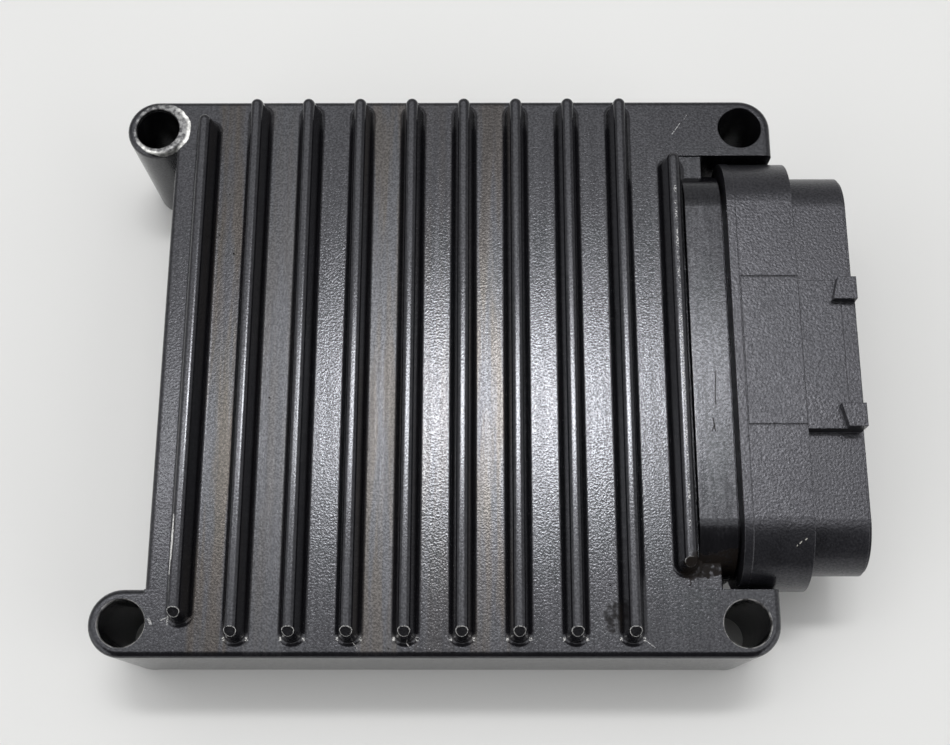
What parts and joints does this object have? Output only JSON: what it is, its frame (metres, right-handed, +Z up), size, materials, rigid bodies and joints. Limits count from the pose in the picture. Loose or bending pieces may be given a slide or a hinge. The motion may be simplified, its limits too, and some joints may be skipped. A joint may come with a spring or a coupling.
{
  "type": "engine control unit",
  "caption": "Finned die-cast engine control unit with corner mounting bosses and a long sealed plug socket on one side.",
  "frame": {"origin": "middle of the overall box at the level of the boss feet", "axes": "+Z up through the cooling ribs, +X out of the plug socket, +Y towards the rear long wall"},
  "size_m": [0.1392, 0.1084, 0.0354],
  "materials": {
    "housing_paint": "semi-gloss black paint on die-cast aluminium, worn at the bosses",
    "plate_metal": "plain sheet",
    "seal_rubber": "matte",
    "screw_steel": "zinc plated",
    "board_laminate": "green solder resist",
    "header_plastic": "spark-textured black moulding",
    "pin_metal": "tin plated",
    "chip_plastic": "moulded epoxy",
    "pad_silicone": "matte",
    "can_metal": "bright can"
  },
  "bodies": {
    "root": {"housing": "housing_paint", "base_plate": "plate_metal", "cover_seal": "seal_rubber", "cover_screws": "screw_steel", "circuit_board": "board_laminate", "board_screws": "screw_steel", "connector_header": "header_plastic", "connector_seal": "seal_rubber", "header_screws": "screw_steel", "upper_pins": "pin_metal", "middle_pins": "pin_metal", "lower_pins": "pin_metal", "microcontroller": "chip_plastic", "memory_chip": "chip_plastic", "driver_chips": "chip_plastic", "power_transistors": "chip_plastic", "thermal_pad": "pad_silicone", "voltage_regulator": "chip_plastic", "filter_capacitors": "can_metal", "power_inductor": "chip_plastic", "clock_crystal": "can_metal", "protection_diodes": "chip_plastic", "chip_resistors": "chip_plastic", "chip_capacitors": "pad_silicone"}
  },
  "joints": []
}
